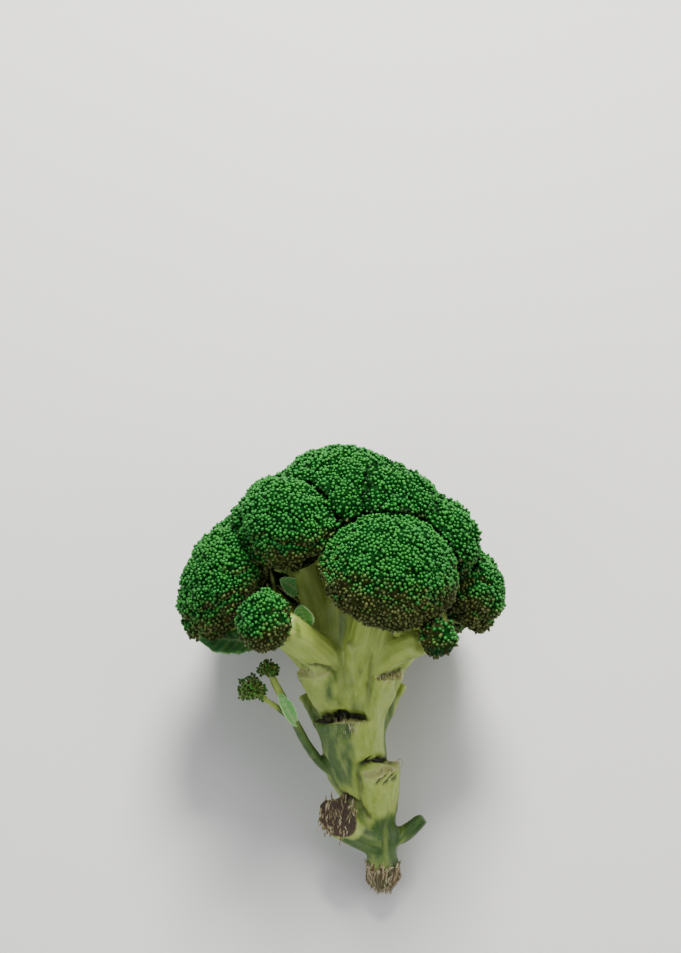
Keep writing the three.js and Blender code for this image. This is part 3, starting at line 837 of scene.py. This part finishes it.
def round_map(name, v, quads, high):
    """A flat map of a floret's body by direction from its centre, below high."""
    way = unit(v - np.array(FLORETS[name][0])) @ floret_axes(name).T
    u = np.arctan2(way[:, 1], way[:, 0]) / (2 * pi) + 0.5
    h = np.arccos(np.clip(way[:, 2], -1, 1)) / pi
    corners = np.stack([u[quads], h[quads] * high * 0.97 + 0.002], 2)
    wraps = np.ptp(corners[:, :, 0], axis=1) > 0.5
    first = corners[wraps, :, 0]
    corners[wraps, :, 0] = np.where(first < 0.5, first + 1, first)
    corners[:, :, 0] = np.minimum(corners[:, :, 0], 1.0)
    return corners.reshape(-1, 2)


def floret(name, core, tree, rng):
    """A floret's body with its buds, as one piece."""
    v, quads = core
    points, normals = scatter(v, quads, BUD_SPACING, rng)
    fall = fall_of(name, points) + 13 * noise(points / 5.0, 54)
    under = underness(name, points, normals)
    bare = 0.04 + 0.06 * under + 0.65 * ramp(fall, 122, 150)
    keep = rng.random(len(points)) > bare
    points, normals, under = points[keep], normals[keep], under[keep]
    free = openness(points, normals, tree)
    seen = free > LEAST_OPEN
    points, normals, under, free = points[seen], normals[seen], under[seen], free[seen]
    room = int((MOST_FACES - 2 * len(quads)) / len(BUD[1]))
    if len(points) > room:
        least = np.argsort(-free)[:room]
        points, normals, under, free = points[least], normals[least], under[least], free[least]
    sizes = BUD_RADIUS * rng.uniform(0.74, 1.18, len(points)) * (1 - 0.14 * under)
    sizes = sizes * (1 + 0.1 * noise(points / 6.0, 52))
    heights = rng.uniform(1.0, 1.5, len(points)) * (1 + 0.35 * under * rng.random(len(points)))
    sunk = np.clip(rng.normal(-0.05, 0.34, len(points)), -1.0, 0.7) - 0.35 * under * rng.random(len(points))
    points = points + normals * sunk[:, None]
    bv, bt = place_buds(points, normals, sizes, heights, rng, BUD_TILT)
    tones = np.clip(rng.random(len(points)) * 0.75 + 0.25 * (noise(points / 4.0, 53) + 1) / 2, 0, 1)
    # The look's alpha is painted shade: buds in closed places come out darker.
    look = bud_look(tones, under, 0.15 + 0.85 * ramp(free, 0.05, 0.36))
    body = stacked(np.full(len(v), 0.25), np.zeros(len(v)), underness(name, v, normals_of(v, quads)),
                   np.full(len(v), 0.25))
    uv = concatenate([round_map(name, v, quads, 0.16), bud_map(len(points), 0.17)])
    piece = add_piece("floret_buds_" + name, concatenate([v, bv]), [quads, bt + len(v)], BUDS,
                      ["floret_" + name], {"look": concatenate([body, look])}, uv)
    piece.data.materials.append(GAPS)
    slots = concatenate([np.ones(len(quads), np.int32), np.zeros(len(bt), np.int32)])
    piece.data.polygons.foreach_set("material_index", slots)


# ---- branchlets under the florets

def underside_point(name, fall, turn, lift=0.0):
    """A point on the floret's rounded outline, fall degrees from its tip."""
    centre, radius, wide, tall, _, _ = FLORETS[name]
    axes = floret_axes(name)
    f = radians(fall)
    flat = sin(f) * float(drawn_in(f))
    local = np.array([flat * cos(turn) * wide, flat * sin(turn) * tall,
                      cos(f) * (0.8 if f > pi / 2 else 1.0)])
    return np.array(centre) + (local * (radius + lift)) @ axes


def plain_grain(v):
    """The grain of small stems: their own place, and no shade."""
    return concatenate([v / 10, np.ones((len(v), 1))], 1)


def is_inside(body, point):
    spot, way, _, _ = body.find_nearest(point, 12.0)
    return spot is not None and (point - spot).dot(way) < 0


def branchlets(cores, rng):
    """Ribs that fan out from each branch over the underside of its floret and fork on the way."""
    made = []
    for name in FLORETS:
        radius = FLORETS[name][1]
        line = branch_line(name)
        count = int(6 + radius * 0.36)
        offset = rng.uniform(0, TURN)
        for k in range(count):
            turn = offset + (k + rng.uniform(-0.25, 0.25)) * 2 * pi / count
            root = line[int(len(line) * rng.uniform(0.46, 0.6))]
            knee = underside_point(name, rng.uniform(152, 162), turn, -0.8)
            for fork in (-1, 1):
                swing = turn + fork * pi / count * rng.uniform(0.35, 0.75)
                a = underside_point(name, rng.uniform(136, 146), swing, -0.3)
                b = underside_point(name, rng.uniform(116, 130), swing + fork * rng.uniform(0, 0.15), -1.6)
                if cores[name].find_nearest(Vector(b))[3] > 4.5:
                    continue
                if any(is_inside(body, Vector(a)) for other, body in cores.items() if other != name):
                    continue
                way = through([root, knee, a, b], 9)
                thick = np.linspace(1, 0, 9) ** 0.7 * (0.055 * radius + 0.5) + 0.55
                made.append(tube(way, thick, 7, rough=0.25, seed=k))
    v, t = joined(made)
    z = np.zeros(len(v))
    paint = stacked(0.25 + ramp(tone(v, 0.2, 61), -0.2, 0.5) * 0.6, z,
                    ramp(tone(v, 0.3, 62), 0.45, 0.8) * 0.3, z + 0.2)
    add_piece("branchlets", v, [t], SKIN, (), {"paint": paint, "grain": plain_grain(v)})


# ---- the thin shoot's bud clusters

def bud_cluster(node, rng):
    """A loose ragged head of small buds on short stems."""
    shape = node_shape(node)[0]
    middle = (shape.max(0) + shape.min(0)) / 2
    radius = (shape.max(0) - shape.min(0)).mean() / 2
    count = int(4 * pi * radius**2 / 1.35)
    k = np.arange(count) + 0.5
    height = 1 - 2 * k / count
    turn = k * GOLDEN
    flat = np.sqrt(1 - height**2)
    ways = stacked(flat * np.cos(turn), flat * np.sin(turn), height)
    ways = unit(ways + rng.normal(0, 0.12, (count, 3)))
    ways = ways[ways[:, 2] > -0.7]
    clump = noise(ways * 2.6, 71)
    out = radius * (0.74 + 0.34 * clump + 0.34 * rng.random(len(ways)) ** 2)
    keep = (clump > -0.5) & (rng.random(len(ways)) > 0.22)
    ways, out, clump = ways[keep], out[keep], clump[keep]
    points = middle + ways * out[:, None]
    sizes = rng.uniform(0.46, 0.72, len(ways))
    bv, bt = place_buds(points, ways, sizes, rng.uniform(1.0, 1.5, len(ways)), rng, 0.35)
    tones = 0.55 + 0.45 * rng.random(len(ways))
    young = np.clip(0.3 - 0.5 * clump + 0.35 * rng.random(len(ways)), 0, 1)
    look = bud_look(tones, young, np.ones(len(ways)))
    add_piece(node + "_head", bv, [bt], BUDS, [node], {"look": look}, bud_map(len(ways), 0.0))
    stems = [tube(bezier(middle + w * radius * 0.05, middle + w * r * 0.5 + (0, 0, 0.3), middle + w * r, 4),
                  np.linspace(0.5, 0.28, 4), 5) for w, r in zip(ways, out)]
    return joined(stems)


# ---- leaflets

def leaf_blade(foot, tip, face, length, width, widest, cup, curl, wave, seed):
    """A thin closed blade with a raised midrib, side veins and wavy edges."""
    rows, columns = 45, 25
    y = unit(tip)
    z = unit(np.asarray(face, float) - y * (np.asarray(face) @ y))
    x = np.cross(y, z)
    share, side = np.meshgrid(np.linspace(0.015, 0.985, rows), np.linspace(-1, 1, columns), indexing="ij")
    outline = np.sin(np.pi * share ** (log(0.5) / log(widest))) ** 0.75
    ragged = 1 + 0.05 * np.sin(share * 41 + side * 2) + 0.04 * np.sin(share * 97)
    spread = side * outline * ragged
    bend = cup * spread**2 - curl * share**2
    bend = bend + wave * np.sin(share * 17 + seed) * np.abs(spread) ** 2
    bend = bend + wave * 0.5 * np.sin(share * 39 + 2 * side)
    rib = np.exp(-((side * outline * width / 2 / 0.55) ** 2)) * (1 - 0.8 * share)
    slant = (share * 9 - np.abs(side) * 1.6) % 1.0
    veins = np.exp(-(((slant - 0.5) / 0.09) ** 2)) * (1 - np.abs(side) ** 3) * (np.abs(side) > 0.04)
    thick = (0.3 + 0.35 * rib) * (1 - 0.45 * np.abs(side) ** 4)
    skins = []
    for way in (1, -1):
        z_at = bend + way * thick + (0.1 * veins if way > 0 else -0.14 * veins)
        flat = np.stack([spread * width / 2, share * length, z_at], 2).reshape(-1, 3)
        skins.append(np.asarray(foot) + flat @ np.array([x, y, z]))
    v = concatenate(skins)
    size = rows * columns
    i, j = np.meshgrid(np.arange(rows - 1), np.arange(columns - 1), indexing="ij")
    a = (i * columns + j).ravel()
    upper = stacked(a, a + 1, a + columns + 1, a + columns)
    last = (rows - 1) * columns
    rim = concatenate([np.arange(columns), np.arange(1, rows) * columns + columns - 1,
                       last + np.arange(columns - 2, -1, -1), np.arange(rows - 2, 0, -1) * columns])
    after = np.roll(rim, -1)
    edge = stacked(rim, after, after + size, rim + size)
    faces = concatenate([upper[:, ::-1], upper + size, edge])
    a, b, c = v[faces.T[:3]]
    if dots(a - v.mean(0), np.cross(b - a, c - a)).sum() < 0:
        faces = faces[:, ::-1]
    vein = np.clip(rib * 1.1 + veins * 0.5, 0, 1).ravel()
    # Near the edges: where the painted rim highlight goes.
    rim_highlight = ramp(np.abs(side), 0.78, 0.97).ravel()
    return v, faces, np.tile(vein, 2), np.tile(rim_highlight, 2)


# foot, tip, face, length, width, where it is widest, cup, curl, wave, seed, how pale, which also sets how
# strong the painted rim highlight is
LEAVES = {
    "leaflet_upper": ((-40.12, -18.34, 148.28), (-0.68, -0.54, 0.5), (0.15, -0.9, 0.0),
                      15, 9, 0.5, 2.4, 1, 0.35, 1, 0.9),
    "leaflet_lower": ((-36.79, -30.77, 131.97), (-0.35, -0.4, 0.85), (-0.1, -0.75, -0.4),
                      13, 11, 0.5, 2.6, 1.5, 0.3, 2, 0.95),
    "leaf_under_left": ((-50.66, -10.54, 124.26), (-0.98, -0.21, 0), (-0.2, -0.8, 0.5),
                        42, 20, 0.68, 3, -5, 0.6, 3, 0.0),
    "shoot_leaf": ((-42.87, -9.83, 81.42), (-0.42, -0.21, 0.88), (0.4, -0.85, 0.1),
                   20, 7, 0.5, 1.2, 1.5, 0.3, 4, 1.0),
}


def leaves():
    for name, (*numbers, pale) in LEAVES.items():
        v, faces, vein, rim_highlight = leaf_blade(*numbers)
        # The rim's painted highlight grows with how pale the leaf is.
        paint = stacked(vein, rim_highlight * (0.15 + 0.85 * pale), np.full(len(v), pale), np.ones(len(v)))
        add_piece("blade_" + name, v, [faces], LEAFY, [name], {"paint": paint})


# ---- fibres, hairs and the tendril

STUMP_FIBRES, STRIPS, TEARS, END_FIBRES, HAIRS = 110, 120, 26, 70, 34
END_RADIUS = 8.1  # of the stalk above its cut end
SCAR_HEIGHT = 85.5
# From x to x, height, how many fibres and how long.
TORN_RIMS = [(-42, -34, 110.6, 9, 1.6), (-3, 9, 107.8, 22, 2.6), (-11, 9, 61.5, 14, 2.0),
             (-25, -12, 86.5, 12, 1.6)]


def spoke(turn):
    """Outwards from the stalk's middle, and around it."""
    out = np.array([cos(turn), sin(turn), 0])
    return out, np.array([-out[1], out[0], 0])


def frays(skin, rng):
    """Fibres on the dried stump and the cut end, torn skin, hairs at the scars and a thin tendril."""
    tree = tree_of(*skin)
    draw = rng.uniform

    def front(x, z):
        spot = tree.ray_cast(Vector((x, -150, z)), Vector((0, 1, 0)))[0]
        return None if spot is None else np.array(spot)

    made, browns = [], []

    def add(line, thick, brown, sides=5, **shape):
        part = tube(line, thick, sides, **shape)
        made.append(part)
        browns.append(np.full(len(part[0]), brown))

    way, middle, reach = cut_plane(node_shape("stump_low_left"), TOWARD["stump_low_left"])
    side = unit(np.cross(way, (0, 0, 1)))
    up = np.cross(side, way)
    for _ in range(STUMP_FIBRES):
        r, turn = reach * 0.97 * sqrt(rng.random()), draw(0, TURN)
        foot = middle + side * r * cos(turn) * 0.9 + up * r * sin(turn) * 0.9 - way * 0.8
        run = up * (1 if rng.random() < 0.75 else -1) + side * rng.normal(0, 0.25)
        run = unit(run + way * rng.normal(0.22, 0.18))
        long = draw(1.6, 5.0)
        bend = foot + run * long * 0.5 + way * draw(0.4, 1.2)
        add(bezier(foot, bend, foot + run * long + way * draw(-0.3, 1.2), 6),
            np.array([0.25, 0.42, 0.45, 0.38, 0.25, 0.12]) * draw(0.6, 1.25), rng.random() ** 0.45)
    for _ in range(STRIPS):
        out, around = spoke(draw(0, TURN))
        swing, bends = rng.normal(0, 2.2), draw(1.5, 4)
        high = draw(5, 14)
        drop = draw(0.6, 1.0) * (high + 0.5)
        line = []
        for s in np.linspace(0, 1, 9):
            z = high - drop * s
            r = END_RADIUS * (1 - 0.46 * float(ramp(-z, -9, 1))) + 0.2 + 1.3 * s * s * draw(0.1, 1.0)
            line.append(out * r + around * swing * sin(s * bends) + (0, 0, max(z, -1.5)))
        add(through(line, 12), draw(0.22, 0.55) * np.sin(np.linspace(0.5, 2.95, 12)) ** 0.7,
            0.2 + 0.8 * rng.random() ** 0.6, 6)
    for k in range(TEARS):
        out, around = spoke(k * 2 * pi / TEARS + draw(-0.2, 0.2))
        base, long = draw(7, 11), draw(2.5, 5.5)
        foot = out * 7.3 + (0, 0, base)
        end = out * (8.9 + draw(0, 1.4)) + around * rng.normal(0, 1.2)
        end = end + (0, 0, base + long * draw(0.2, 1))
        add(bezier(foot, foot + out * 1.2 + (0, 0, long * 0.5), end, 7),
            np.array([0.9, 1.3, 1.4, 1.2, 0.95, 0.7, 0.35]) * draw(0.5, 0.95), draw(0, 0.6),
            8, flat=0.3, facing=out, rough=0.3, seed=k)
    for _ in range(END_FIBRES):
        turn, r = draw(0, TURN), 5.2 * sqrt(rng.random())
        foot = np.array([r * cos(turn), r * sin(turn), draw(1.5, 3.5)])
        end = foot * (0.8, 0.8, 0) + (0, 0, -draw(0.3, 3.2)) + rng.normal(0, 0.5, 3)
        add(bezier(foot, (foot + end) / 2 + rng.normal(0, 0.4, 3), end, 5), np.linspace(0.45, 0.15, 5),
            rng.random() ** 0.8)
    for _ in range(HAIRS):
        x = draw(-25, -12)
        top = front(x, SCAR_HEIGHT + draw(-0.6, 0.8))
        low = front(x + rng.normal(0, 0.4), SCAR_HEIGHT - draw(2.5, 8))
        if top is None or low is None:
            continue
        bend = (top + low) / 2 + (0, -1.2, 0)
        add(bezier(top + (0, -0.1, 0), bend, low + (0, -0.15, 0), 6), np.linspace(0.24, 0.1, 6), 0.1)
    for x, z in ((4.5, 67.5), (6.2, 66.0)):
        spot = front(x, z - 3)
        if spot is not None:
            curl = spot + np.array([(0, 0.6, 0), (0.6, -1.6, 2.2), (2.2, -2.4, 3.0), (3.4, -1.8, 1.4),
                                    (3.0, -1.2, -0.6)])
            add(through(curl, 11), np.linspace(0.42, 0.2, 11), 0.35)
    for x0, x1, z, count, long in TORN_RIMS:
        for _ in range(count):
            x = draw(x0, x1)
            foot = front(x, z - draw(0.6, 2.4))
            if foot is None or foot[1] > -3:
                continue
            end = foot + rng.normal(0, 0.35, 3) + (0, -0.5 + rng.normal(0, 0.3), draw(0.7, 1) * long)
            add(bezier(foot + (0, 0.5, -0.4), (foot + end) / 2 + (0, -0.3, 0), end, 4),
                np.linspace(0.36, 0.1, 4), rng.random() ** 2 * 0.7, 5)
    v, t = joined(made)
    brown = concatenate(browns)
    paint = stacked(brown, brown * 0, brown * 0, brown * 0 + 1)
    add_piece("frayed_fibres", v, [t], FIBRE, (), {"paint": paint})


# ---- putting it together

draws_of = np.random.default_rng
*skin, skin_colours = stalk_skin()
add_piece("stalk_and_branches", skin[0], [skin[1]], SKIN,
          ["stalk", *STUBS, *BRANCHES, *OTHERS, *SHOOTS], skin_colours)
cores = {name: floret_core(name, draws_of(100 + k)) for k, name in enumerate(FLORETS)}
everything = tree_of(*joined([(v, as_triangles(quads)) for v, quads in [*cores.values(), skin]]))
for k, name in enumerate(FLORETS):
    floret(name, cores[name], everything, draws_of(200 + k))
branchlets({name: tree_of(*core) for name, core in cores.items()}, draws_of(23))
stem_v, stem_t = joined([bud_cluster(node, draws_of(300 + k))
                         for k, node in enumerate(("shoot_buds_inner", "shoot_buds_outer"))])
zero = np.zeros(len(stem_v))
add_piece("shoot_bud_stems", stem_v, [stem_t], SKIN, (),
          {"paint": stacked(zero + 0.2, zero, zero, zero + 0.5), "grain": plain_grain(stem_v)})
leaves()
frays(skin, draws_of(400))


# ---- camera, light and floor

camera = linked("camera", bpy.data.cameras.new("camera"))
camera.data.lens, camera.data.sensor_width = 83.1, 36
camera.data.clip_start, camera.data.clip_end = 0.05, 20
seen_from = Matrix((GROWN[0], GROWN[2], -GROWN[1])).transposed().to_4x4()
seen_from.translation = Vector(to_row((-21.25, -1100, 205.75)))
camera.matrix_world = seen_from
SCENE.camera = camera


def lamp(name, place, target, size, watts, colour):
    data = bpy.data.lights.new(name, "AREA")
    data.shape, data.size, data.energy, data.color = "DISK", size, watts, colour
    made = linked(name, data)
    made.location = place
    made.rotation_euler = (Vector(target) - Vector(place)).to_track_quat("-Z", "Y").to_euler()


lamp("key", (0.05, 0.85, 0.85), (0, 0.02, 0.06), 0.45, 30, (1.0, 0.98, 0.94))
lamp("fill", (-0.75, -0.75, 0.85), (0, 0, 0.05), 0.9, 6, (0.94, 0.97, 1.0))
lamp("side", (0.9, -0.2, 0.6), (0, 0, 0.06), 0.6, 4, (1.0, 0.97, 0.93))
sun = linked("overhead", bpy.data.lights.new("overhead", "SUN"))
sun.data.energy, sun.data.angle = 0.7, radians(60)
sun.rotation_euler = (radians(-25), 0, 0)

world = bpy.data.worlds.new("studio")
world.use_nodes = True
sky = world.node_tree.nodes["Background"].inputs
sky["Color"].default_value = (0.9, 0.93, 1.0, 1)
sky["Strength"].default_value = 0.35
SCENE.world = world

FLOOR_REACH = 15  # metres
corners = FLOOR_REACH * np.array([[-1, -1, 0], [1, -1, 0], [1, 1, 0], [-1, 1, 0]], float)
floor_mesh = new_mesh("floor", corners, [np.array([[0, 1, 2, 3]])])
floor = linked("floor", floor_mesh)
mix, _, spots, _, _, out = shader("floor", 0.75, 0.2)
floor_mesh.materials.append(out(mix(spots(3.0, 2), (0.66, 0.655, 0.64), (0.72, 0.715, 0.7))))
